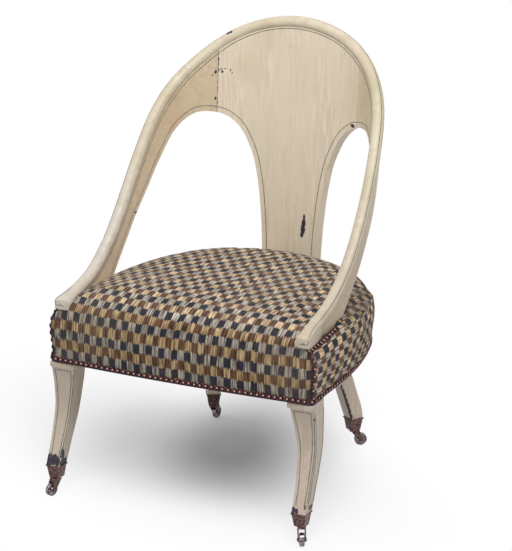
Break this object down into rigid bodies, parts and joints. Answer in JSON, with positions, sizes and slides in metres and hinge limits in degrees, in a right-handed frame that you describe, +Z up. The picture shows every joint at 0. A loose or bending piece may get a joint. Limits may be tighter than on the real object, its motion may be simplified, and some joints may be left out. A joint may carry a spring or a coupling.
{
  "type": "easy chair",
  "caption": "Low spoon-back easy chair with a painted barrel back, pierced by arched openings, a stuffed-over check seat and sabre legs on swivel casters.",
  "frame": {"origin": "middle of the footprint, on the floor", "axes": "+Z up, the chair faces -Y, +X to the sitter's left hand"},
  "size_m": [0.537, 0.5588, 0.835],
  "materials": {
    "cream_paint": "old hand-brushed cream paint, satin, over beech",
    "bare_wood": "bare sawn beech",
    "check_fabric": "woven check of navy, grey, brown and tan",
    "nail_band": "dark worn braid",
    "webbing": "jute webbing",
    "hessian": "open-weave hessian",
    "horsehair": "curled hair stuffing",
    "bottom_cloth": "black linen",
    "caster_brass": "darkened old brass",
    "screw_steel": "dull steel"
  },
  "bodies": {
    "chair": {"arm_dowels": "bare_wood", "back_rail": "bare_wood", "back_splat": "cream_paint", "back_stile_left": "cream_paint", "back_stile_right": "cream_paint", "board_dowels": "bare_wood", "bottom_cloth": "bottom_cloth", "caster_front_left_cup": "caster_brass", "caster_front_right_cup": "caster_brass", "caster_rear_left_cup": "caster_brass", "caster_rear_right_cup": "caster_brass", "corner_block_left": "bare_wood", "corner_block_right": "bare_wood", "frame_screws": "screw_steel", "front_leg_left": "cream_paint", "front_leg_right": "cream_paint", "front_rail": "bare_wood", "hessian": "hessian", "nail_band": "nail_band", "rear_leg_left": "cream_paint", "rear_leg_right": "cream_paint", "rim_roll_crest": "cream_paint", "rim_roll_left": "cream_paint", "rim_roll_right": "cream_paint", "seat_cover": "check_fabric", "side_band_left": "check_fabric", "side_band_right": "check_fabric", "side_rail_left": "bare_wood", "side_rail_right": "bare_wood", "stuffing_pad": "horsehair", "webbing_crosswise": "webbing", "webbing_lengthwise": "webbing"},
    "front_right_swivel": {"caster_front_right_fork": "caster_brass", "caster_front_right_swivel_pin": "caster_brass", "caster_front_right_axle": "caster_brass"},
    "front_right_wheel": {"caster_front_right_wheel": "caster_brass"},
    "front_left_swivel": {"caster_front_left_fork": "caster_brass", "caster_front_left_swivel_pin": "caster_brass", "caster_front_left_axle": "caster_brass"},
    "front_left_wheel": {"caster_front_left_wheel": "caster_brass"},
    "rear_right_swivel": {"caster_rear_right_fork": "caster_brass", "caster_rear_right_swivel_pin": "caster_brass", "caster_rear_right_axle": "caster_brass"},
    "rear_right_wheel": {"caster_rear_right_wheel": "caster_brass"},
    "rear_left_swivel": {"caster_rear_left_fork": "caster_brass", "caster_rear_left_swivel_pin": "caster_brass", "caster_rear_left_axle": "caster_brass"},
    "rear_left_wheel": {"caster_rear_left_wheel": "caster_brass"}
  },
  "joints": [
    {"name": "front_right_swivel", "type": "hinge", "parent": "chair", "child": "front_right_swivel", "pos_m": [0.2515, -0.25198, 0.034], "axis": [0, 0, 1], "continuous": true},
    {"name": "front_right_wheel_roll", "type": "hinge", "parent": "front_right_swivel", "child": "front_right_wheel", "pos_m": [0.25847, -0.26526, 0.0125], "axis": [0.8854, 0.4648, 0], "continuous": true},
    {"name": "front_left_swivel", "type": "hinge", "parent": "chair", "child": "front_left_swivel", "pos_m": [-0.2515, -0.25198, 0.034], "axis": [0, 0, 1], "continuous": true},
    {"name": "front_left_wheel_roll", "type": "hinge", "parent": "front_left_swivel", "child": "front_left_wheel", "pos_m": [-0.25526, -0.2665, 0.0125], "axis": [0.9681, -0.2504, 0], "continuous": true},
    {"name": "rear_right_swivel", "type": "hinge", "parent": "chair", "child": "rear_right_swivel", "pos_m": [0.155, 0.20552, 0.034], "axis": [0, 0, 1], "continuous": true},
    {"name": "rear_right_wheel_roll", "type": "hinge", "parent": "rear_right_swivel", "child": "rear_right_wheel", "pos_m": [0.16732, 0.21408, 0.0125], "axis": [-0.5707, 0.8211, 0], "continuous": true},
    {"name": "rear_left_swivel", "type": "hinge", "parent": "chair", "child": "rear_left_swivel", "pos_m": [-0.155, 0.20552, 0.034], "axis": [0, 0, 1], "continuous": true},
    {"name": "rear_left_wheel_roll", "type": "hinge", "parent": "rear_left_swivel", "child": "rear_left_wheel", "pos_m": [-0.155, 0.22052, 0.0125], "axis": [-1, 0, 0], "continuous": true}
  ]
}
